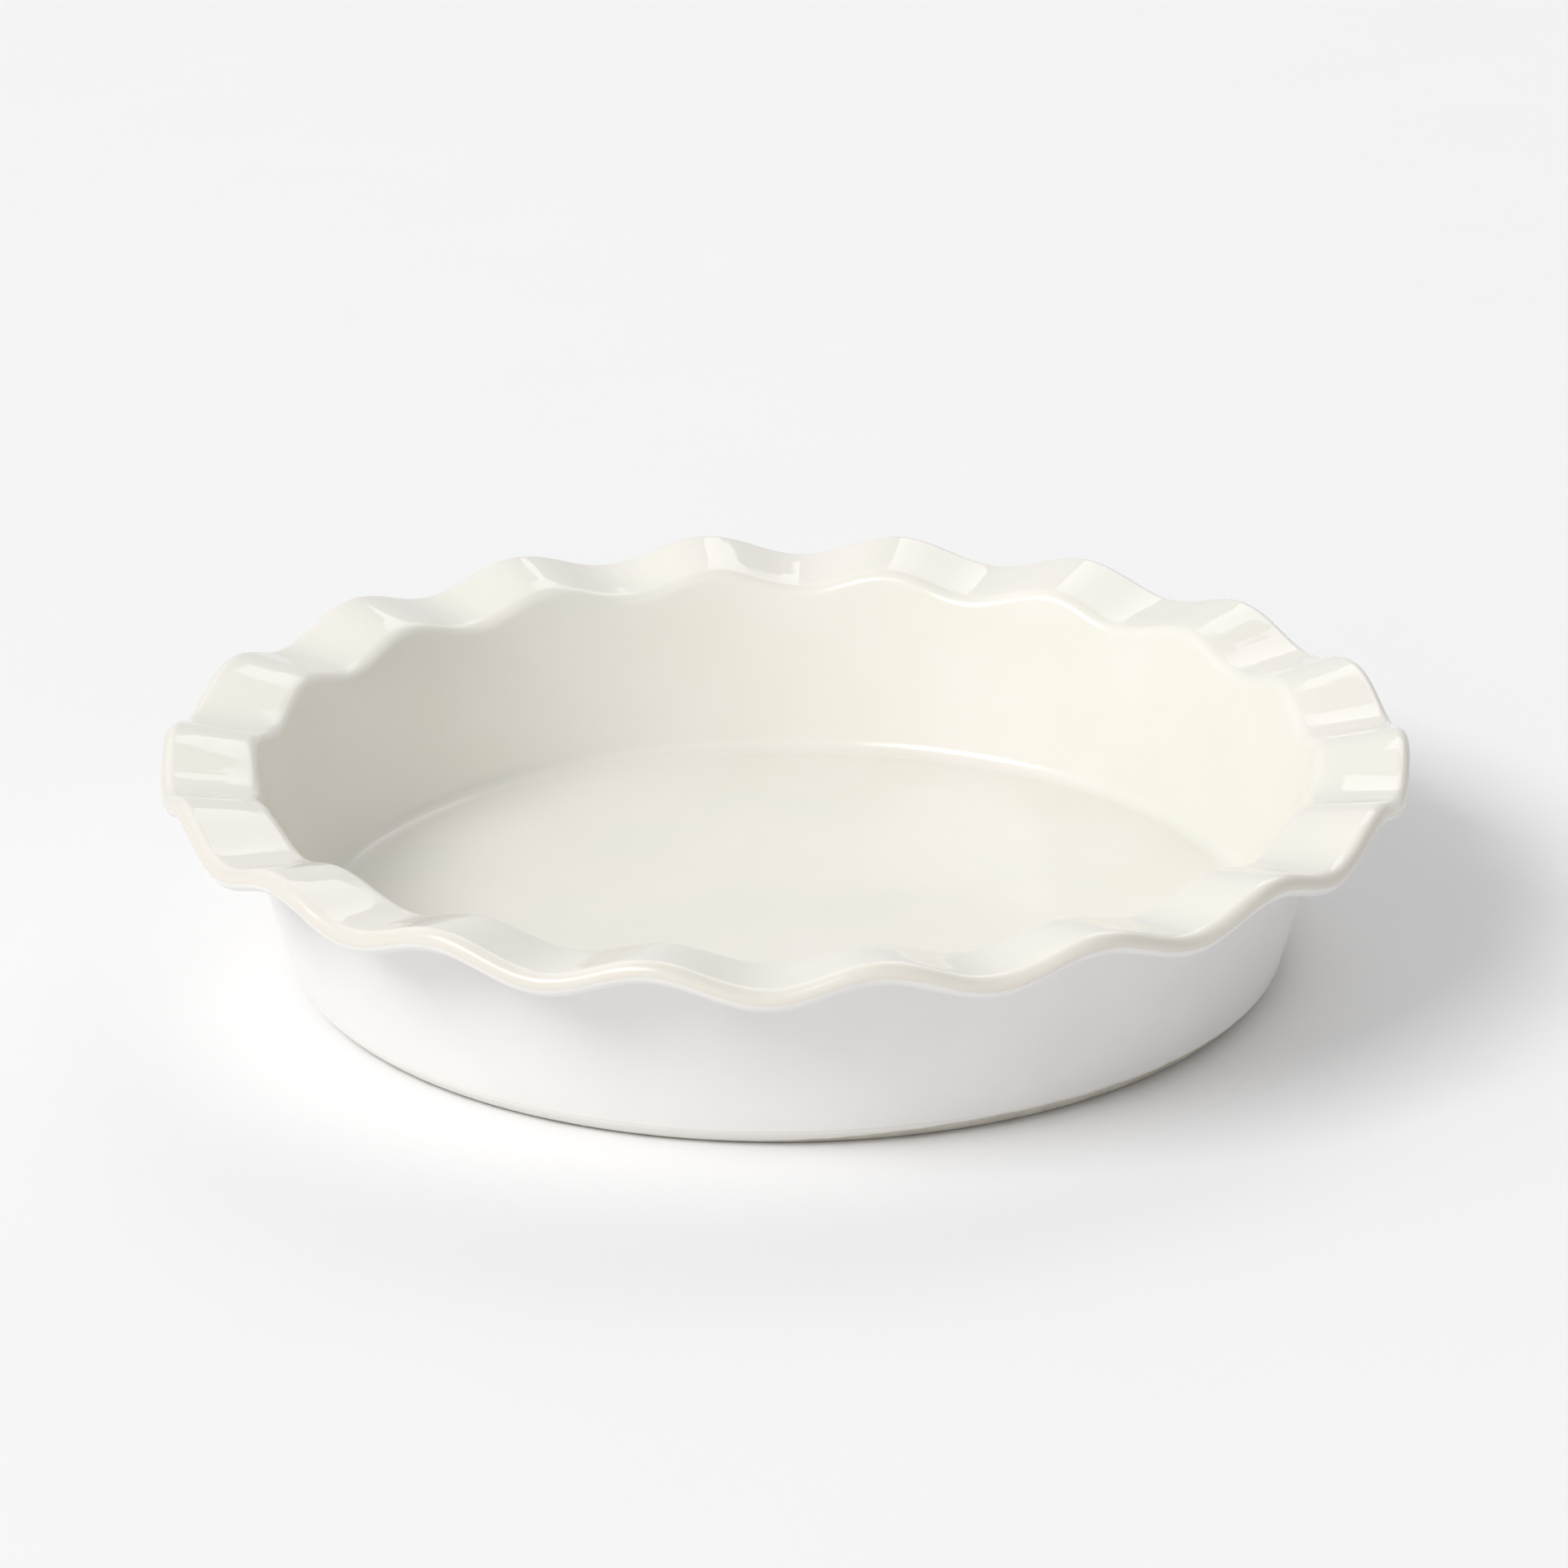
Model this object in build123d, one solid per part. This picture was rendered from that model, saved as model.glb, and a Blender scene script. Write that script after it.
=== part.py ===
from build123d import *
from math import cos, pi, radians, sin, tan
import os

# Pie dish, 9 inch nominal, one fired piece of stoneware with coats of glaze.
# Millimetres, +Z up, origin on the table under the middle of the foot.
# The first crest of the ruffle points along +X, and the first valley lies half a ruffle on.

# Overall sizes
dish_width = 280.0
dish_height = 53.2
rim_overhang = 32.3

# Ruffled rim
ruffle_count = 18
ruffle_rise = 2.65
rim_thickness = 5.2
crest_angle = 9.9
valley_angle = 5.5
neck_round = 4.0
root_round = 5.0

# Bowl
wall_angle = 15.6
wall_thickness = 5.8
floor_height = 8.0
corner_round = 4.5

# Foot
foot_bevel_run = 4.8
foot_bevel_height = 4.3
foot_ring_width = 7.0
recess_depth = 2.0
recess_angle = 20.0

# Glaze
glaze_thickness = 0.5
glaze_stop = 1.5

# Counts of the corners that make up each round, and of the sections that make up one ruffle
neck_corners = 2
upper_lip_corners = 3
lower_lip_corners = 2
root_corners = 2
floor_corners = 2
section_count = 12

# Worked out once for every piece
lip_radius = rim_thickness / 2
lip_reach = dish_width / 2 - lip_radius
mean_slope = (crest_angle + valley_angle) / 2
slope_swing = (crest_angle - valley_angle) / 2
foot_radius = dish_width / 2 - rim_overhang
ring_inner_radius = foot_radius - foot_ring_width
recess_slant = tan(radians(recess_angle))

# Directions in the radial plane, as degrees above the outward one and as (outward, 0, up)
upright = 90
inward = 180
outward = Vector(1, 0, 0)
up_the_wall = Vector(sin(radians(wall_angle)), 0, cos(radians(wall_angle)))
into_the_bowl = Vector(-cos(radians(wall_angle)), 0, sin(radians(wall_angle)))
wall_base = Vector(foot_radius + foot_bevel_run, 0, foot_bevel_height)


def turned(centre, radius, angle):
    """A point of the radial plane at an angle above the outward direction, seen from a centre."""
    return centre + Vector(radius * cos(radians(angle)), 0, radius * sin(radians(angle)))


def round_corners(centre, radius, start, end, corners):
    """The corners of the flats that touch an arc, the flats before and after it included."""
    half_turn = (end - start) / corners / 2
    reach = radius / cos(radians(half_turn))
    return [turned(centre, reach, start + half_turn * (2 * i + 1)) for i in range(corners)]


def crossing(point, direction, other_point, other_direction):
    """Where two lines of the radial plane cross."""
    gap = other_point - point
    turn = direction.X * other_direction.Z - direction.Z * other_direction.X
    along = (gap.X * other_direction.Z - gap.Z * other_direction.X) / turn
    return point + direction * along


def inner_wall(depth, level=None):
    """A point of the inner wall, so deep under its finished surface and at a level if one is given."""
    point = wall_base + into_the_bowl * (wall_thickness - depth)
    return point if level is None else crossing(Vector(0, 0, level), outward, point, up_the_wall)


def outer_wall(depth, level=None):
    """A point of the outer wall, so deep under its finished surface and at a level if one is given."""
    point = wall_base + into_the_bowl * depth
    return point if level is None else crossing(Vector(0, 0, level), outward, point, up_the_wall)


# The top corner of the lip at a crest is the highest point of the dish
lip_top = round_corners(Vector(0, 0, 0), lip_radius, upright + crest_angle, 0, upper_lip_corners)[0].Z
lip_level = dish_height - ruffle_rise - lip_top


def rim_section(angle):
    """The cut through the rim at an angle round the dish: neck, flange, lip, underside and root."""
    wave = cos(ruffle_count * angle)
    slope = mean_slope + slope_swing * wave
    along = Vector(cos(radians(slope)), 0, sin(radians(slope)))
    square = Vector(-sin(radians(slope)), 0, cos(radians(slope)))
    lip_centre = Vector(lip_reach, 0, lip_level + ruffle_rise * wave)
    neck_centre = crossing(lip_centre + square * (lip_radius - neck_round), along,
                           inner_wall(neck_round), up_the_wall)
    root_centre = crossing(lip_centre - square * (lip_radius + root_round), along,
                           outer_wall(-root_round), up_the_wall)
    neck = round_corners(neck_centre, neck_round, inward - wall_angle, upright + slope, neck_corners)
    upper_lip = round_corners(lip_centre, lip_radius, upright + slope, 0, upper_lip_corners)
    lower_lip = round_corners(lip_centre, lip_radius, 0, slope - upright, lower_lip_corners)
    root = round_corners(root_centre, root_round, upright + slope, inward - wall_angle, root_corners)
    flange_middle = (neck[-1] + upper_lip[0]) / 2
    underside_middle = (lower_lip[-1] + root[0]) / 2
    return neck + [flange_middle] + upper_lip + lower_lip + [underside_middle] + root


# Where the coats of glaze stop, just under the lowest end of the neck and of the root
valley_section = rim_section(pi / ruffle_count)
liner_top = valley_section[0].Z - glaze_stop
coat_top = valley_section[-1].Z - glaze_stop


def ruffled_rim():
    """The flange and its lip, waved all the way round, down to where the plain wall starts.

    Each corner of the section runs round the dish as one closed curve, level at crests and valleys,
    and the rim is the closed band of surfaces that join neighbouring curves.
    """
    steps = ruffle_count * section_count
    turns = [360 * i / steps for i in range(steps)]
    sections = [rim_section(radians(turn)) for turn in turns]
    curves = []
    for corner in zip(*sections):
        points = [point.rotate(Axis.Z, turn) for point, turn in zip(corner, turns)]
        tangents = [points[(i + 1) % steps] - points[i - 1] for i in range(steps)]
        curves.append(Edge.make_spline(points, tangents, periodic=True))
    for point in (outer_wall(0, coat_top), outer_wall(glaze_thickness, coat_top),
                  inner_wall(glaze_thickness, liner_top), inner_wall(0, liner_top)):
        curves.append(Edge.make_circle(point.X, Plane(origin=(0, 0, point.Z))))
    bands = [Face.make_surface_from_curves(curves[i - 1], curve) for i, curve in enumerate(curves)]
    return Solid(Shell(bands))


def turned_solid(*points):
    """A solid of revolution from the corners of its half outline."""
    return revolve(make_face(Polyline(*points, points[0])), Axis.Z)


def corner_points(depth):
    """The round between the inner wall and the floor, so deep under the finished surface."""
    floor_line = Vector(0, 0, floor_height + corner_round)
    centre = crossing(floor_line, outward, inner_wall(-corner_round), up_the_wall)
    return round_corners(centre, corner_round + depth, -wall_angle, -upright, floor_corners)


def bowl():
    """The clay of floor, wall and foot, up to where the ruffled rim starts."""
    recess_top = recess_depth + glaze_thickness
    return turned_solid(
        Vector(0, 0, floor_height - glaze_thickness),
        *corner_points(glaze_thickness)[::-1],
        inner_wall(glaze_thickness, liner_top),
        outer_wall(glaze_thickness, coat_top),
        outer_wall(glaze_thickness, foot_bevel_height),
        wall_base,
        Vector(foot_radius, 0, 0),
        Vector(ring_inner_radius, 0, 0),
        Vector(ring_inner_radius - recess_top * recess_slant, 0, recess_top),
        Vector(0, 0, recess_top),
    )


def liner_coat():
    """The cream glaze of the floor and the inner wall, up to the rim."""
    return turned_solid(
        Vector(0, 0, floor_height),
        *corner_points(0)[::-1],
        inner_wall(0, liner_top),
        inner_wall(glaze_thickness, liner_top),
        *corner_points(glaze_thickness),
        Vector(0, 0, floor_height - glaze_thickness),
    )


def wall_coat():
    """The white glaze of the outer wall, from the foot bevel to the root of the rim."""
    return turned_solid(
        outer_wall(0, foot_bevel_height),
        outer_wall(0, coat_top),
        outer_wall(glaze_thickness, coat_top),
        outer_wall(glaze_thickness, foot_bevel_height),
    )


def base_coat():
    """The white glaze of the recess inside the foot ring."""
    recess_top = recess_depth + glaze_thickness
    return turned_solid(
        Vector(0, 0, recess_depth),
        Vector(ring_inner_radius - recess_depth * recess_slant, 0, recess_depth),
        Vector(ring_inner_radius - recess_top * recess_slant, 0, recess_top),
        Vector(0, 0, recess_top),
    )


pieces = {
    "stoneware_body": ruffled_rim() + bowl(),
    "cream_liner_glaze": liner_coat(),
    "white_wall_glaze": wall_coat(),
    "white_base_glaze": base_coat(),
}

os.makedirs("parts", exist_ok=True)
for name, shape in pieces.items():
    export_step(shape, f"parts/{name}.step")
    box = shape.bounding_box()
    print(name, "volume", round(shape.volume), "mm3, size", [round(v, 2) for v in box.size])
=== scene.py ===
# %% [markdown]
# # A ruffled stoneware pie dish
#
# A pie dish is one piece of clay. It is pressed over a mould, dried, dipped in glaze and fired.
# What the eye sees is thin: a glossy cream glaze inside and over the rim, a satin white glaze
# outside, and a narrow bare line of clay where the dish stood in the kiln. So the looks come
# from three finishes that lie on one form, and from the soft way in which that form is bent.
#
# The dish is already packed as a plain model. This lesson loads it as a frame, dresses each of
# its parts in a finer surface, and lights it as on a photographer's table.

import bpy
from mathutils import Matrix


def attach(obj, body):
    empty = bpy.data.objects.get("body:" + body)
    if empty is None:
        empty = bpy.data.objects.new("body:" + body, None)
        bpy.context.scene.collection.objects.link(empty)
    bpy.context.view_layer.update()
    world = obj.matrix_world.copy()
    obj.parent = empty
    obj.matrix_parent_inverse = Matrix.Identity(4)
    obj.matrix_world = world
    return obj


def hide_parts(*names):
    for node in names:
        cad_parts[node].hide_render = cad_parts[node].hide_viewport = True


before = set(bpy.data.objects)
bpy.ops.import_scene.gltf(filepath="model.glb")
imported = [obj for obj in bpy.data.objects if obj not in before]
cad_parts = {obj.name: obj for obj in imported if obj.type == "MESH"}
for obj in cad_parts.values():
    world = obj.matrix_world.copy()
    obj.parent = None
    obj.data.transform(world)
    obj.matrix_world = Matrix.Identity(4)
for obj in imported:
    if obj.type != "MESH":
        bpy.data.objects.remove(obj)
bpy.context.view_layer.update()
print("parts:", ", ".join(sorted(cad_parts)))

# %% [markdown]
# ## The sizes of the section
#
# Cut the dish through its middle and the cut looks the same nearly everywhere: floor, round
# corner, leaning wall, neck, flange and lip. Only the flange and the lip go up and down as the
# ruffle passes. The sizes below are those of that cut, in millimetres, because that is how
# a potter measures. They become metres only when a mesh is made. The rim is a hair narrower than
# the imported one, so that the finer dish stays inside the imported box.

# %% Sizes of the cut, in millimetres and degrees
import bpy
from math import atan2, cos, hypot, pi, radians, sin, tan, tau
from mathutils import Matrix, Vector

rim_radius = 139.96
lip_level = 47.855
ruffles = 18
ruffle_rise = 2.65
lip_round = 2.6
flange_slope = 7.7
slope_swing = 2.2
neck_round = 4.0
root_round = 5.0

wall_lean = 15.6
wall_thickness = 5.8
wall_base = Vector((112.5, 4.3))
floor_level = 8.0
corner_round = 4.5

foot_radius = 107.7
foot_ring_width = 7.0
recess_depth = 2.0
recess_lean = 20.0
glaze = 0.5
print("the rim is", 2 * rim_radius, "mm wide")
print("the lip's middle rises from", round(lip_level - ruffle_rise, 2),
      "to", round(lip_level + ruffle_rise, 2), "mm")

# %% [markdown]
# ## Drawing the cut with arcs
#
# Every bend of a glazed pot is an arc: glaze fills sharp inner corners and draws back from
# outer ones. A bend can be drawn as a bevel on a coarse mesh, but then the ruffle would change
# its width. Here each bend is an arc with its own centre, and the centre is found
# where two lines cross. That keeps every round the same while the flange tips up and down.

# %% Helpers for points of the cut
def towards(angle):
    """One millimetre in the cut, at an angle above the outward direction."""
    return Vector((cos(radians(angle)), sin(radians(angle))))


def arc(centre, radius, start, end, steps):
    """Points of an arc, both ends included."""
    return [centre + radius * towards(start + (end - start) * i / steps) for i in range(steps + 1)]


def between(start, end, steps):
    """Points of a straight run, without its ends."""
    return [start.lerp(end, i / steps) for i in range(1, steps)]


def crossing(point, direction, other_point, other_direction):
    """Where two straight lines of the cut meet."""
    gap = other_point - point
    turn = direction.x * other_direction.y - direction.y * other_direction.x
    return point + direction * ((gap.x * other_direction.y - gap.y * other_direction.x) / turn)


outwards_in_cut = Vector((1, 0))
inside_angle = 180 - wall_lean
up_the_wall = towards(90 - wall_lean)
into_the_bowl = towards(inside_angle)


def wall_point(depth, level):
    """A point so deep under the outer face of the wall, at a level."""
    face = wall_base + into_the_bowl * depth
    return crossing(Vector((0, level)), outwards_in_cut, face, up_the_wall)


print("the wall leans out", round(wall_point(0, lip_level).x - wall_base.x, 1), "mm on its way up")

# %% [markdown]
# ## The ruffle
#
# The ruffle is a wave with eighteen crests. At a crest the lip is high and the flange is
# steeper, and in a valley it is low and flatter, so the flange is a gently twisted band.
# One number, the wave, goes from 1 at a crest to -1 in a valley, and the cut at any
# angle follows from it.

# %% The rim's bends at any angle round the dish
def rim_bends(angle):
    """The flange's slope, and the centres of lip, neck and root at an angle round the dish."""
    wave = cos(ruffles * angle)
    slope = flange_slope + slope_swing * wave
    along, square = towards(slope), towards(slope + 90)
    lip = Vector((rim_radius - lip_round, lip_level + ruffle_rise * wave))
    neck = crossing(lip + square * (lip_round - neck_round), along,
                    wall_point(wall_thickness - neck_round, lip_level), up_the_wall)
    root = crossing(lip - square * (lip_round + root_round), along,
                    wall_point(-root_round, lip_level), up_the_wall)
    return slope, lip, neck, root


for name, angle in (("crest", 0), ("valley", pi / ruffles)):
    slope, lip, neck, _ = rim_bends(angle)
    print(name, "slope", round(slope, 1), "neck at", round(neck.x, 1),
          "lip top", round(lip.y + lip_round, 2))

# %% [markdown]
# ## Where cream ends and white begins
#
# The dish is dipped twice. The cream glaze runs over the lip and stops just under its widest
# line, and the white glaze starts there. The line between them is soft, about a millimetre
# wide, because the glazes melt into each other. The two coats are separate pieces that share
# the points of that line, and each is a closed skin half a millimetre thick.

# %% The cream side and the white side of the cut
line_angle = -27.0
line_hair = 0.6


def cream_side(angle, depth, fine):
    """From the middle of the floor, up the inner wall and over the lip to the colour line."""
    corner_steps, throat_steps, crown_steps = (8, 10, 18) if fine else (3, 3, 6)
    floor_steps, wall_steps, flange_steps = (4, 5, 4) if fine else (4, 2, 2)
    slope, lip, neck, _ = rim_bends(angle)
    corner = crossing(Vector((0, floor_level + corner_round)), outwards_in_cut,
                      wall_point(wall_thickness + corner_round, lip_level), up_the_wall)
    bend = arc(corner, corner_round + depth, -90, -wall_lean, corner_steps)
    throat = arc(neck, neck_round - depth, inside_angle, 90 + slope, throat_steps)
    crown = arc(lip, lip_round - depth, 90 + slope, line_angle + line_hair, crown_steps)
    middle = Vector((0, floor_level - depth))
    return ([middle] + between(middle, bend[0], floor_steps) + bend
            + between(bend[-1], throat[0], wall_steps) + throat
            + between(throat[-1], crown[0], flange_steps) + crown
            + [lip + (lip_round - depth) * towards(line_angle)])


def white_side(angle, depth, fine):
    """From the colour line, under the flange and down the outer wall to the root's end."""
    chin_steps, under_steps, hollow_steps = (9, 4, 9) if fine else (3, 2, 3)
    slope, lip, _, root = rim_bends(angle)
    chin = arc(lip, lip_round - depth, line_angle - line_hair, slope - 90, chin_steps)
    hollow = arc(root, root_round + depth, 90 + slope, inside_angle, hollow_steps)
    return ([lip + (lip_round - depth) * towards(line_angle)] + chin
            + between(chin[-1], hollow[0], under_steps) + hollow)


print(len(cream_side(0, 0, True)), "points on the cream side")
print(len(white_side(0, 0, True)), "points on the white side")

# %% [markdown]
# ## From cut to mesh
#
# A lathe could turn one cut round the axis, but this rim differs from angle to angle. So the
# cut is worked out anew at each of many angles, and neighbouring cuts are joined by faces. Where
# the cut starts and ends on the axis, the faces close in a fan, and where it is a closed loop,
# they close in a ring. Twenty four cuts for each ruffle keep the lip smooth in a close view.

# %% A helper that joins cuts into a closed mesh
cuts_per_ruffle = 24
columns = cuts_per_ruffle * ruffles
on_axis = 0.001


def joined_cuts(name, cut_at, count, sharp=()):
    """A closed mesh from the cut at each angle; rows named in sharp keep a hard edge."""
    turns = [tau * i / count for i in range(count)]
    cuts = [cut_at(turn) for turn in turns]
    rows = len(cuts[0])
    fan = cuts[0][0].x < on_axis
    body = range(1, rows - 1) if fan else range(rows)
    points = [(cut[row].x * cos(turn), cut[row].x * sin(turn), cut[row].y)
              for turn, cut in zip(turns, cuts) for row in body]
    width = len(body)
    faces = []
    for column in range(count):
        here, there = column * width, (column + 1) % count * width
        for row in range(width - 1 if fan else width):
            after = (row + 1) % width
            faces.append((here + row, here + after, there + after, there + row))
    if fan:
        points += [(0, 0, cuts[0][0].y), (0, 0, cuts[0][-1].y)]
        first, last = len(points) - 2, len(points) - 1
        for column in range(count):
            here, there = column * width, (column + 1) % count * width
            faces.append((first, here, there))
            faces.append((here + width - 1, last, there + width - 1))
    mesh = bpy.data.meshes.new(name)
    mesh.from_pydata([Vector(point) * 0.001 for point in points], [], faces)
    mesh.polygons.foreach_set("use_smooth", [True] * len(mesh.polygons))
    hard = {row - body[0] for row in sharp}
    for edge in mesh.edges:
        a, b = edge.vertices
        if a < count * width and b < count * width and a % width == b % width and a % width in hard:
            edge.use_edge_sharp = True
    mesh.validate()
    piece = bpy.data.objects.new(name, mesh)
    bpy.context.collection.objects.link(piece)
    print(name, len(mesh.vertices), "points,", len(mesh.polygons), "faces")
    return piece


# %% [markdown]
# ## The cream coat
#
# This is the coat that a cook looks at: the floor, the inner wall, the flange and the top of the
# lip. It is a skin with an outer and an inner side, joined at the colour line. The outer side has
# many points in its bends, and the inner side, which nobody sees, has few.

# %% The cream coat
def cream_cut(angle):
    """The closed cut of the cream coat, from the axis and back to it."""
    return cream_side(angle, 0, True) + cream_side(angle, glaze, False)[::-1]


cream_rows = len(cream_side(0, 0, True))
cream_coat = joined_cuts("cream_coat", cream_cut, columns, sharp=(cream_rows - 1, cream_rows))

# %% [markdown]
# The soft colour line needs to know how far each point is from it. A distance that is stored
# on the mesh stays put when the dish is turned, which a distance worked out from heights would
# not do on a wavy lip. It is stored in millimetres, and is large away from the lip.

# %% The distance to the colour line, stored on the cream coat
far_away = 6.0
lip_tolerance = 0.1


def store_distance(piece, name, reach):
    """Store on each point its distance from the colour line, measured round the lip."""
    values = []
    for vertex in piece.data.vertices:
        x, y, z = vertex.co * 1000
        arm = Vector((hypot(x, y), z)) - rim_bends(atan2(y, x))[1]
        turn = atan2(arm.y, arm.x) - radians(line_angle)
        near = arm.length < lip_round + lip_tolerance and arm.x > -lip_round / 2
        values.append(min(reach, max(0, turn * lip_round)) if near else reach)
    piece.data.attributes.new(name, "FLOAT", "POINT").data.foreach_set("value", values)
    print(piece.name, "has", sum(value < reach for value in values), "points near the colour line")


store_distance(cream_coat, "from_line", far_away)

# %% [markdown]
# ## The white coat
#
# Outside, the dish has a satin white glaze from the colour line to the foot. At the bottom it
# ends in a small bead, because wet glaze draws back from the wiped foot and stands a little
# proud of it. Wiping is done by hand with a sponge, so the bead's level wavers slightly.

# %% The white coat
bead_round = 0.42
bead_turn = 100
bead_tuck = 0.1
wiped_level = 4.75
sponge_waves = ((0.10, 5, 1), (0.07, 11, 4), (0.05, 23, 0))


def wiped(angle):
    """The level at which the glaze was wiped off, which wavers round the dish."""
    level = wiped_level
    for rise, count, start in sponge_waves:
        level += rise * sin(count * angle + start)
    return level


def white_cut(angle):
    """The closed cut of the white coat, with its bead at the foot."""
    outside, inside = white_side(angle, 0, True), white_side(angle, glaze, False)
    wall_steps, bead_steps = 7, 6
    level = wiped(angle)
    bead_middle = wall_point(bead_round, level)
    bead = arc(bead_middle, bead_round, -wall_lean, -wall_lean - bead_turn, bead_steps)
    under = wall_point(glaze, level + bead_tuck)
    return outside + between(outside[-1], bead[0], wall_steps) + bead + [under] + inside[::-1]


white_coat = joined_cuts("white_coat", white_cut, columns, sharp=(0, len(white_cut(0)) - 1))

# %% [markdown]
# ## The clay
#
# Under the coats is the fired clay itself. It shows only on the bevel of the foot, on the ring
# that touches the table and on the side of the recess. The whole body is made all the
# same, a hair under the coats, so that the dish is as solid here as on the shelf. A sponge has
# wiped the foot, so its bevel bulges slightly and its corners are rounded.

# %% Helpers that round a corner and bulge a side of the cut
def softened(before, corner, after, radius, steps):
    """An arc that touches both sides of a corner."""
    one, other = (before - corner).normalized(), (after - corner).normalized()
    half = one.angle(other) / 2
    middle = corner + (one + other).normalized() * radius / sin(half)
    start, end = corner + one * radius / tan(half), corner + other * radius / tan(half)
    arms = [(start - middle).lerp(end - middle, i / steps).normalized() for i in range(steps + 1)]
    return [middle + arm * radius for arm in arms]


def bowed(start, end, bow, steps):
    """Points along a shallow curve that bulges to the left of the way from start to end."""
    way = (end - start).normalized()
    out = Vector((-way.y, way.x))
    ticks = [i / steps for i in range(steps + 1)]  # 4 * t * (1 - t) is 1 half way
    return [start.lerp(end, t) + out * bow * 4 * t * (1 - t) for t in ticks]


# %% The clay body
hair = 0.02
edge_round = 0.45
bevel_bow = 0.35
under_bead = 0.3
shoulder_inset = 0.2


def clay_cut(angle):
    """The cut of the clay, from the floor's middle round to the recess's middle."""
    wall_steps, bevel_steps, edge_steps = 3, 8, 4
    skin = glaze + hair
    ring_inside = foot_radius - foot_ring_width
    recess_top = recess_depth + skin
    outside = white_side(angle, skin, False)
    wall_end = wall_point(skin, wiped_level + under_bead)
    shoulder = Vector((wall_base.x - shoulder_inset, wall_base.y - shoulder_inset))
    toe, heel = Vector((foot_radius, 0)), Vector((ring_inside, 0))
    ceiling = Vector((ring_inside - recess_top * tan(radians(recess_lean)), recess_top))
    bevel = bowed(shoulder, toe, bevel_bow, bevel_steps)
    return (cream_side(angle, skin, False)[:-1] + outside
            + between(outside[-1], wall_end, wall_steps) + [wall_end] + bevel[:-1]
            + softened(bevel[-2], toe, heel, edge_round, edge_steps)
            + softened(toe, heel, ceiling, edge_round, edge_steps)
            + [ceiling, Vector((0, ceiling.y))])


clay_body = joined_cuts("clay_body", clay_cut, columns)

# %% [markdown]
# ## The coat in the recess
#
# Underneath, inside the foot ring, the same white glaze covers the base. It lies two millimetres
# above the table, so that it can't stick to the kiln shelf. The ruffle doesn't reach it, so its
# cut is the same at every angle, and fewer cuts are enough.

# %% The base coat
base_columns = 144
ring_gap = 0.05
base_bead = 0.2


def base_cut(angle):
    """The cut of the coat that lies in the recess, the same at every angle."""
    base_steps, bead_steps = 4, 3
    slant = tan(radians(recess_lean))
    edge = foot_radius - foot_ring_width - recess_depth * slant - ring_gap
    low, high = recess_depth, recess_depth + glaze
    low_edge, high_edge = Vector((edge, low)), Vector((edge - glaze * slant, high))
    middle = Vector((0, low))
    bead = softened(middle, low_edge, high_edge, base_bead, bead_steps)
    return ([Vector((0, high)), high_edge] + bead[::-1]
            + between(bead[0], middle, base_steps) + [middle])


base_coat = joined_cuts("base_coat", base_cut, base_columns)

# %% [markdown]
# ## Helpers for materials
#
# A glaze is a thin glass over clay. Blender's Principled shader covers that: a base colour, a
# roughness, and a bump for the small unevenness that breaks up a mirror image. Nodes could be
# set up by hand in the shader editor. Here each helper adds one node, so that a finish reads
# as a short list of what it is made of.

# %% Helpers that start a finish and give a socket its value
def new_finish(name):
    """An empty material, its node tree, its shader and the place on the object."""
    material = bpy.data.materials.new(name)
    material.use_nodes = True
    tree = material.node_tree
    shader = tree.nodes["Principled BSDF"]
    place = tree.nodes.new("ShaderNodeTexCoord").outputs["Object"]
    return material, tree, shader, place


def given(tree, socket, value):
    """Set a socket to a number, or link it to another node's output."""
    if isinstance(value, (int, float)):
        socket.default_value = value
    else:
        tree.links.new(value, socket)


# %% [markdown]
# Where a finish changes from place to place, that place is told in numbers: a height, a distance
# from the axis, the strength of a noise. These helpers work such numbers out. A place in a
# material is in metres.

# %% Helpers for numbers that change from place to place
def axes_of(tree, vector):
    """The x, y and z of a place or a direction."""
    node = tree.nodes.new("ShaderNodeSeparateXYZ")
    tree.links.new(vector, node.inputs[0])
    return node.outputs[0], node.outputs[1], node.outputs[2]


def worked(tree, operation, *values):
    """The result of one sum on numbers and other nodes' outputs."""
    node = tree.nodes.new("ShaderNodeMath")
    node.operation = operation
    for socket, value in zip(node.inputs, values):
        given(tree, socket, value)
    return node.outputs["Value"]


def stretched(tree, value, low, high, to_low=0.0, to_high=1.0):
    """A value taken from one range to another, with soft ends."""
    node = tree.nodes.new("ShaderNodeMapRange")
    node.interpolation_type = "SMOOTHSTEP"
    ends = {"From Min": low, "From Max": high, "To Min": to_low, "To Max": to_high}
    for socket, number in ends.items():
        node.inputs[socket].default_value = number
    tree.links.new(value, node.inputs["Value"])
    return node.outputs["Result"]


def mottle(tree, place, size, detail):
    """Soft noise whose patches are about so many millimetres wide."""
    node = tree.nodes.new("ShaderNodeTexNoise")
    node.inputs["Scale"].default_value = 1000 / size
    node.inputs["Detail"].default_value = detail
    tree.links.new(place, node.inputs["Vector"])
    return node.outputs["Fac"]


# %% [markdown]
# The numbers then choose between two tones or two roughnesses, or raise the surface.

# %% Helpers that turn numbers into looks
def blended(tree, amount, first, second):
    """A colour between two colours; each may be a colour or another node's output."""
    node = tree.nodes.new("ShaderNodeMix")
    node.data_type = "RGBA"
    tree.links.new(amount, node.inputs["Factor"])
    for number, colour in ((6, first), (7, second)):  # a mix node's two colour sockets
        if isinstance(colour, tuple):
            node.inputs[number].default_value = (*colour, 1)
        else:
            tree.links.new(colour, node.inputs[number])
    return node.outputs[2]


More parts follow.
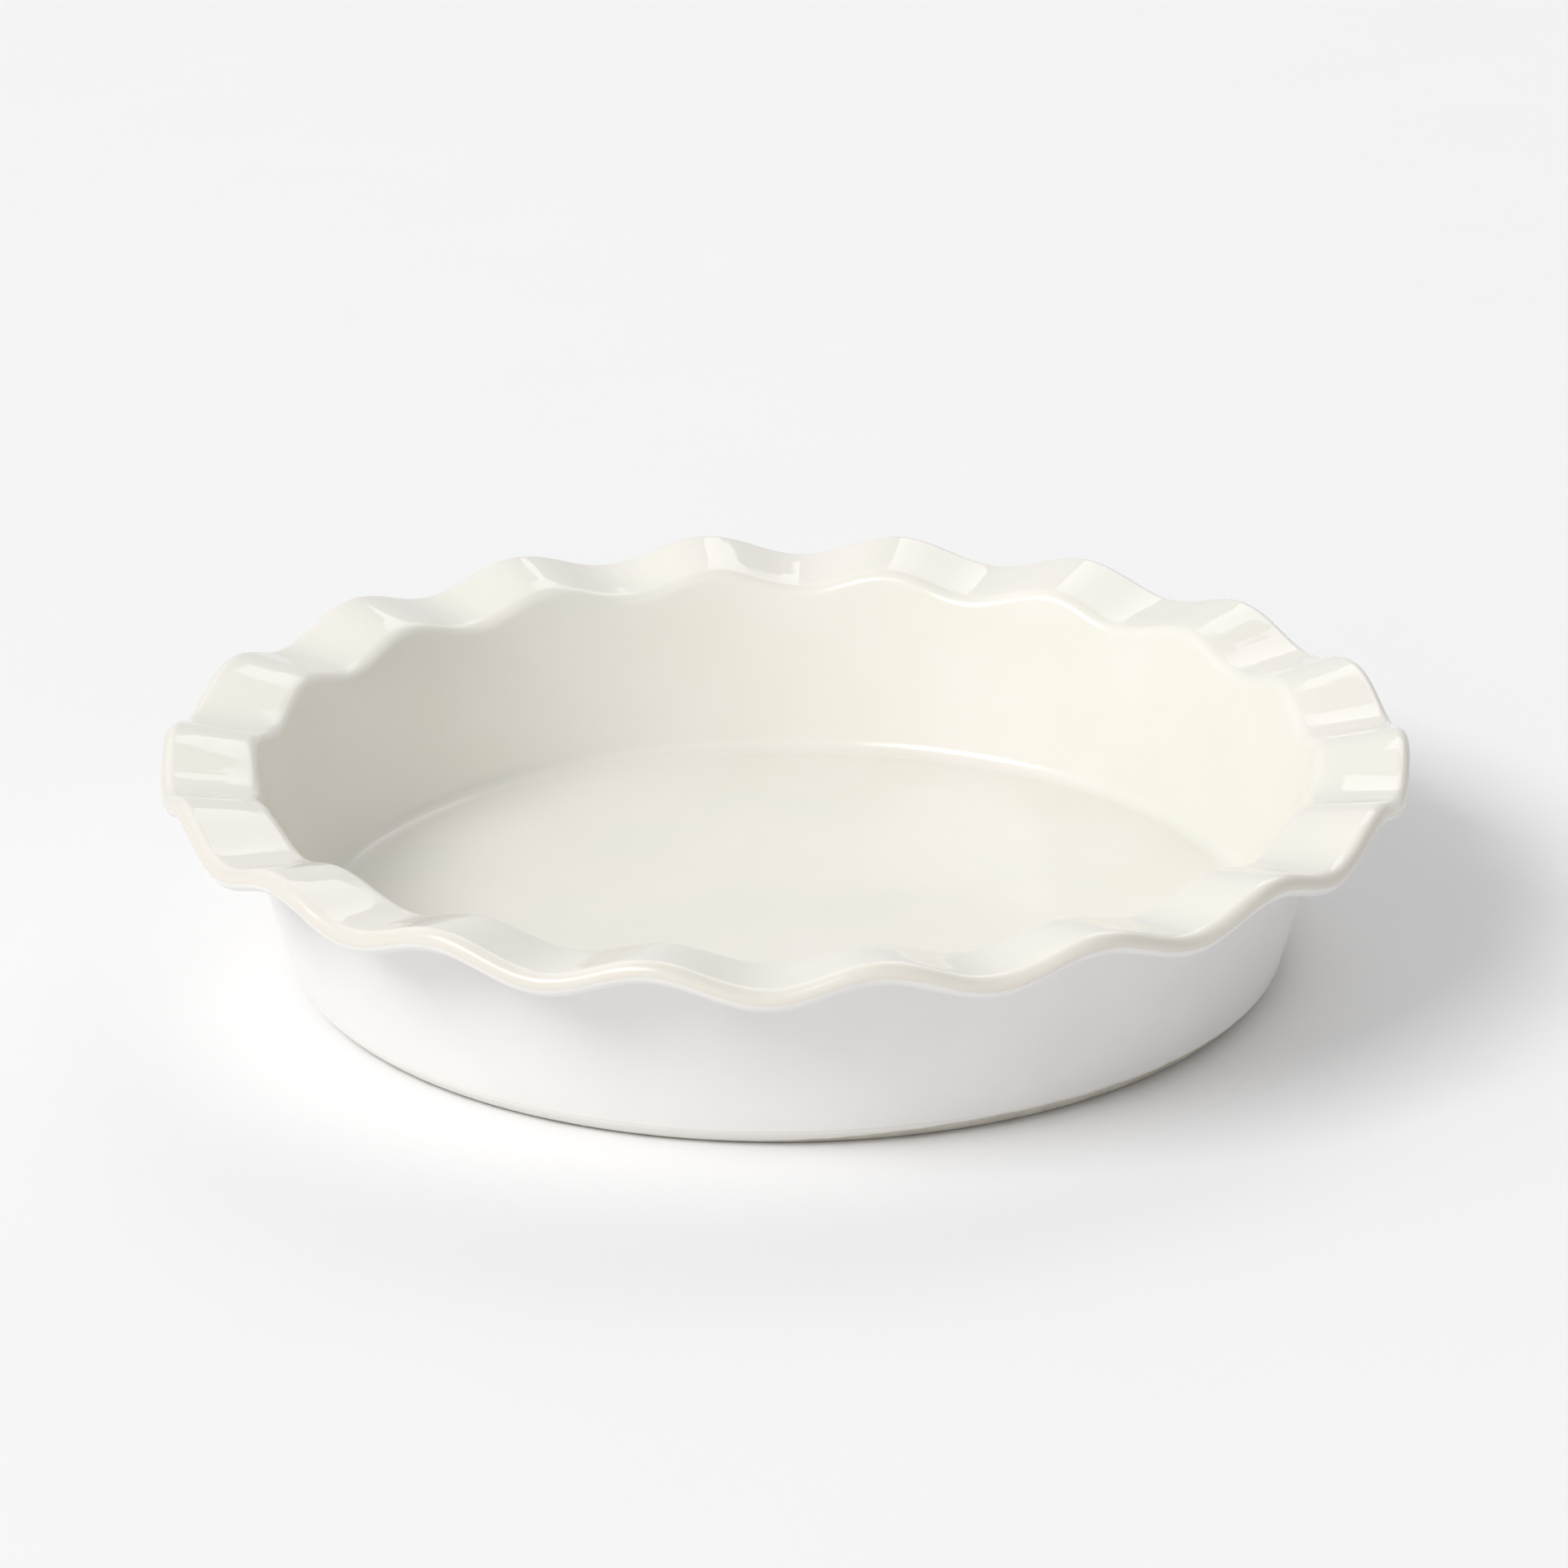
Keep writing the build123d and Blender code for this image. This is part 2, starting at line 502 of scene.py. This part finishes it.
def faded(tree, amount, first, second):
    """A number between two numbers; each may be another node's output."""
    node = tree.nodes.new("ShaderNodeMix")
    for number, value in ((0, amount), (2, first), (3, second)):  # its factor and two numbers
        given(tree, node.inputs[number], value)
    return node.outputs[0]


def uneven(tree, shader, height, depth):
    """A bump whose full height is so many millimetres."""
    node = tree.nodes.new("ShaderNodeBump")
    node.inputs["Distance"].default_value = depth / 1000
    tree.links.new(height, node.inputs["Height"])
    tree.links.new(node.outputs["Normal"], shader.inputs["Normal"])


# %% [markdown]
# Some marks follow the form and run out from the middle of the dish. They need a place that is
# told by the angle round the dish and the distance from its axis.

# %% A helper for marks that run outwards
def outward_place(tree, place, stretch):
    """The place as arc length and shortened radius, and the radius itself."""
    x, y, _ = axes_of(tree, place)
    squares = worked(tree, "MULTIPLY_ADD", x, x, worked(tree, "MULTIPLY", y, y))
    radius = worked(tree, "POWER", squares, 0.5)
    turn = worked(tree, "ARCTAN2", y, x)
    joined = tree.nodes.new("ShaderNodeCombineXYZ")
    given(tree, joined.inputs["X"], worked(tree, "MULTIPLY", turn, rim_radius / 1000))
    given(tree, joined.inputs["Y"], worked(tree, "MULTIPLY", radius, stretch))
    return joined.outputs["Vector"], radius


# %% [markdown]
# ## Cream glaze
#
# The cream is warm and quiet. Up close it has clouds a few centimetres wide, where the glaze is
# thicker or thinner, and a skin like orange peel that is only a few hundredths of a millimetre
# high. The lip's outer round is painted darker, as painted shade for the face of the lip that
# turns away from the light. The flange is the glossiest part, and it has faint marks that run
# outwards. Near the colour line the cream melts into the white outside.
# A painted picture could hold all this, but it would stretch over the ruffle. So the tones and
# the roughness follow noise, the distance to the colour line, which was stored in millimetres,
# and the distance from the axis, which a material tells in metres.

# %% Tones and roughness of the cream glaze
white_tone = (0.825, 0.808, 0.79)
# the darker tone of the lip is painted shade for its outer face, which turns away from the light
lip_painted_shade = (0.735, 0.696, 0.624)
cool_cream, warm_cream = (0.818, 0.799, 0.728), (0.848, 0.817, 0.755)
clouds_from, clouds_full = 0.35, 0.65
inside_roughness, flange_roughness = 0.17, 0.05
lip_roughness, white_roughness = 0.26, 0.30

line_wander = -0.6
melt_from, melt_full = 0.05, 0.75
lip_from, lip_full = 2.6, 4.6
flange_from, flange_full = 0.121, 0.126
streak_height, grain_height = 2.4, 0.05
print("the flange begins", round(1000 * flange_from), "mm from the axis")

# %% Cream glaze
cream_glaze, tree, shader, place = new_finish("cream_glaze")
outwards, radius = outward_place(tree, place, stretch=0.12)
distance = tree.nodes.new("ShaderNodeAttribute")
distance.attribute_name = "from_line"
wander = worked(tree, "MULTIPLY_ADD", mottle(tree, place, size=9, detail=2),
                line_wander, distance.outputs["Fac"])
in_cream = stretched(tree, wander, melt_from, melt_full)
off_lip = stretched(tree, wander, lip_from, lip_full)
on_flange = stretched(tree, radius, flange_from, flange_full)

clouds = stretched(tree, mottle(tree, place, size=34, detail=3), clouds_from, clouds_full)
# painted shade: the lip's outer round gets the darker tone
cream_tone = blended(tree, off_lip, lip_painted_shade, blended(tree, clouds, cool_cream, warm_cream))
given(tree, shader.inputs["Base Color"], blended(tree, in_cream, white_tone, cream_tone))

roughness = faded(tree, on_flange, inside_roughness, flange_roughness)
roughness = faded(tree, off_lip, lip_roughness, roughness)
given(tree, shader.inputs["Roughness"], faded(tree, in_cream, white_roughness, roughness))

marks = worked(tree, "MULTIPLY", on_flange, streak_height)
streaks = worked(tree, "MULTIPLY", mottle(tree, outwards, size=4, detail=1), marks)
grains = worked(tree, "MULTIPLY", mottle(tree, place, size=1.6, detail=2), grain_height)
waves = worked(tree, "ADD", mottle(tree, place, size=14, detail=2), grains)
uneven(tree, shader, worked(tree, "ADD", waves, streaks), depth=0.05)
print("cream glaze has", len(tree.nodes), "nodes")

# %% [markdown]
# ## White glaze
#
# The outside is a satin white from a second dip, with less shine and a finer skin than the
# cream. One flat colour would do from afar, but up close it would look like plastic. So it gets
# faint clouds and a fine grain of its own.

# %% White glaze
thin_white, thick_white = (0.815, 0.797, 0.78), (0.835, 0.818, 0.80)
white_grain_height = 0.08

white_glaze, tree, shader, place = new_finish("white_glaze")
clouds = stretched(tree, mottle(tree, place, size=28, detail=3), clouds_from, clouds_full)
given(tree, shader.inputs["Base Color"], blended(tree, clouds, thin_white, thick_white))
shader.inputs["Roughness"].default_value = white_roughness
waves = worked(tree, "MULTIPLY_ADD", mottle(tree, place, size=0.9, detail=2),
               white_grain_height, mottle(tree, place, size=11, detail=2))
uneven(tree, shader, waves, depth=0.04)
print("white glaze has", len(tree.nodes), "nodes")

# %% [markdown]
# ## Bare clay
#
# Fired stoneware is greyish tan and dry to the touch, with a few dark specks of iron. A haze of
# glaze leaves the upper part of the bevel nearly white, and the clay's tan shows near the table
# and on the ring. How high the tan reaches is partly painted shade: the tan band by the table
# stands for the shade where the foot meets it, and on the right, the side turned from the
# light, the tan is painted higher. The mask follows the height above the table, and noise makes its
# edge ragged.

# %% Bare clay
dark_tan, light_tan = (0.50, 0.465, 0.40), (0.60, 0.565, 0.50)
patches_from, patches_full, patch_height = 0.35, 0.7, 0.5
iron_tone = (0.20, 0.16, 0.12)
specks_from, specks_full, specks_share = 0.68, 0.76, 0.7
haze_tone = (0.83, 0.81, 0.775)
# the tan band by the table is the clay's own colour and partly painted shade where the foot meets
# the table
haze_and_shade_from, haze_and_shade_full, haze_wander = -0.0003, 0.0006, 0.0010
# on the right, the side turned from the light, the tan band is painted higher: painted shade
shade_side_from, shade_side_full, shade_side_rise = -0.02, 0.06, 0.0034

bare_clay, tree, shader, place = new_finish("bare_clay")
specks = stretched(tree, mottle(tree, place, size=0.7, detail=1),
                   specks_from, specks_full, 0.0, specks_share)
patches = stretched(tree, mottle(tree, place, size=6, detail=3), patches_from, patches_full)
speckled = blended(tree, specks, blended(tree, patches, dark_tan, light_tan), iron_tone)

x, _, z = axes_of(tree, place)
ragged = worked(tree, "MULTIPLY", mottle(tree, place, size=5, detail=2), haze_wander)
# painted shade: the tan reaches higher on the right side of the dish
rise = stretched(tree, x, shade_side_from, shade_side_full, 0.0, shade_side_rise)
level = worked(tree, "SUBTRACT", worked(tree, "SUBTRACT", z, ragged), rise)
# tan below and white haze above; the tan's reach is partly painted shade
haze_and_shade = stretched(tree, level, haze_and_shade_from, haze_and_shade_full)
given(tree, shader.inputs["Base Color"], blended(tree, haze_and_shade, speckled, haze_tone))
shader.inputs["Roughness"].default_value = 0.6
grit = worked(tree, "MULTIPLY_ADD", patches, patch_height, mottle(tree, place, size=0.5, detail=3))
uneven(tree, shader, grit, depth=0.03)
print("bare clay has", len(tree.nodes), "nodes")

# %% [markdown]
# ## Dressing the dish
#
# Each finer piece now rides on the dish's one body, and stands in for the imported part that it
# replaces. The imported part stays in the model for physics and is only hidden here.

# %% Put the finishes on and let the pieces ride
for piece, finish, node, slot in (
        (cream_coat, cream_glaze, "cream_liner_glaze", "cream_glaze"),
        (white_coat, white_glaze, "white_wall_glaze", "white_glaze"),
        (clay_body, bare_clay, "stoneware_body", "stoneware"),
        (base_coat, white_glaze, "white_base_glaze", "white_glaze")):
    piece.data.materials.append(finish)
    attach(piece, "root")
    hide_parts(node)
    print(piece.name, "stands in for", node)

# %% [markdown]
# ## The table
#
# The dish stands on a pale table that fills the picture. The table is only staging, and it catches
# the soft shadow. It is much larger than the picture, so that no edge shows from any side, and it
# lies a hair under the foot, so that the two don't share faces.

# %% The table
table_reach = 6.0
table_gap = 0.00005
table_squares = 8
table_cool, table_warm = (0.895, 0.895, 0.897), (0.905, 0.905, 0.907)

ticks = [table_reach * (2 * i / table_squares - 1) for i in range(table_squares + 1)]
grid = [(x, y, -table_gap) for y in ticks for x in ticks]
row = table_squares + 1
corners = [j * row + i for j in range(table_squares) for i in range(table_squares)]
squares = [(first, first + 1, first + row + 1, first + row) for first in corners]
table_mesh = bpy.data.meshes.new("table")
table_mesh.from_pydata(grid, [], squares)
table = bpy.data.objects.new("table", table_mesh)
bpy.context.collection.objects.link(table)

table_paint, tree, shader, place = new_finish("table_paint")
clouds = mottle(tree, place, size=60, detail=2)
given(tree, shader.inputs["Base Color"], blended(tree, clouds, table_cool, table_warm))
shader.inputs["Roughness"].default_value = 0.9
shader.inputs["Specular IOR Level"].default_value = 0.1
table_mesh.materials.append(table_paint)
print("the table has", len(table_mesh.polygons), "faces")

# %% [markdown]
# ## Light
#
# One very large soft box stands far off to the left and in front of the dish, half way up. It
# throws the soft shadow to the right and lights the near wall. White walls all round fill the
# rest, and a dim panel behind on the right draws the pale patches on the ruffle.

# %% Soft boxes
def soft_box(name, round_angle, height_angle, distance, width, height, glow):
    """A rectangular lamp that looks at the dish; glow is how bright its face is."""
    lamp = bpy.data.lights.new(name, "AREA")
    lamp.shape = "RECTANGLE"
    lamp.size, lamp.size_y = width, height
    lamp.energy = glow * pi * width * height
    box = bpy.data.objects.new(name, lamp)
    flat = distance * cos(radians(height_angle))
    box.location = (flat * cos(radians(round_angle)), flat * sin(radians(round_angle)),
                    distance * sin(radians(height_angle)))
    box.rotation_euler = (-box.location).to_track_quat("-Z", "Y").to_euler()
    bpy.context.collection.objects.link(box)
    print(name, "stands at", [round(side, 2) for side in box.location])


soft_box("key_box", round_angle=221, height_angle=42, distance=8.0,
         width=5.0, height=2.8, glow=8.2)
soft_box("back_panel", round_angle=72, height_angle=42, distance=3.0,
         width=1.7, height=1.2, glow=1.2)

# %% [markdown]
# The room itself is the world. Its walls are brightest half way up, its ceiling is dim, and a
# dark curtain hangs low on the right. The walls behind the dish and behind the camera are
# even. So upright surfaces get as much light as flat ones, the floor of the dish doesn't wash
# out, and the right of the dish turns grey. A direction is told by its x, y and z.

# %% The world
heights = (0.30, 0.55, 0.80, 0.96)
glows = (0.52, 0.85, 0.85, 0.15)
curtain_from, curtain_full, curtain_share = 0.45, 0.80, 0.28
ends_from, ends_full, ends_glow = 0.25, 0.6, 0.79

world = bpy.data.worlds.new("white_room")
bpy.context.scene.world = world
world.use_nodes = True
tree = world.node_tree
room = tree.nodes["Background"]
room.inputs["Color"].default_value = (1.0, 1.0, 1.0, 1)
x, y, z = axes_of(tree, tree.nodes.new("ShaderNodeTexCoord").outputs["Generated"])
lit = tree.nodes.new("ShaderNodeValToRGB")
lit.color_ramp.interpolation = "EASE"
while len(lit.color_ramp.elements) < len(heights):
    lit.color_ramp.elements.new(0.5)  # it moves to its own height below
for stop, height, glow in zip(lit.color_ramp.elements, heights, glows):
    stop.position, stop.color = height, (glow, glow, glow, 1)
given(tree, lit.inputs["Fac"], z)
curtain = stretched(tree, x, curtain_from, curtain_full, 1.0, curtain_share)
side_walls = worked(tree, "MULTIPLY", lit.outputs["Color"], curtain)
towards_ends = stretched(tree, worked(tree, "ABSOLUTE", y), ends_from, ends_full)
given(tree, room.inputs["Strength"], faded(tree, towards_ends, side_walls, ends_glow))
print("the walls give", max(glows), "and the ceiling", min(glows))

# %% [markdown]
# ## The camera
#
# A long lens stands well back and looks down at about twenty one degrees, which keeps the far
# rim nearly as wide as the near one.

# %% The camera
camera_place = (0.0445, -1.3738, 0.5654)
look_down, look_left, tip = radians(20.91), radians(1.87), radians(0.41)

camera = bpy.data.objects.new("camera", bpy.data.cameras.new("camera"))
bpy.context.collection.objects.link(camera)
camera.data.sensor_width = 36
camera.data.lens = 149.84
camera.data.clip_end = 50
camera.matrix_world = (
    Matrix.Translation(camera_place) @ Matrix.Rotation(look_left, 4, "Z")
    @ Matrix.Rotation(pi / 2 - look_down, 4, "X") @ Matrix.Rotation(-tip, 4, "Z"))
bpy.context.scene.camera = camera
bpy.context.scene.view_settings.view_transform = "Standard"
print("the camera stands", round(camera.location.length, 3), "m from the middle of the foot")
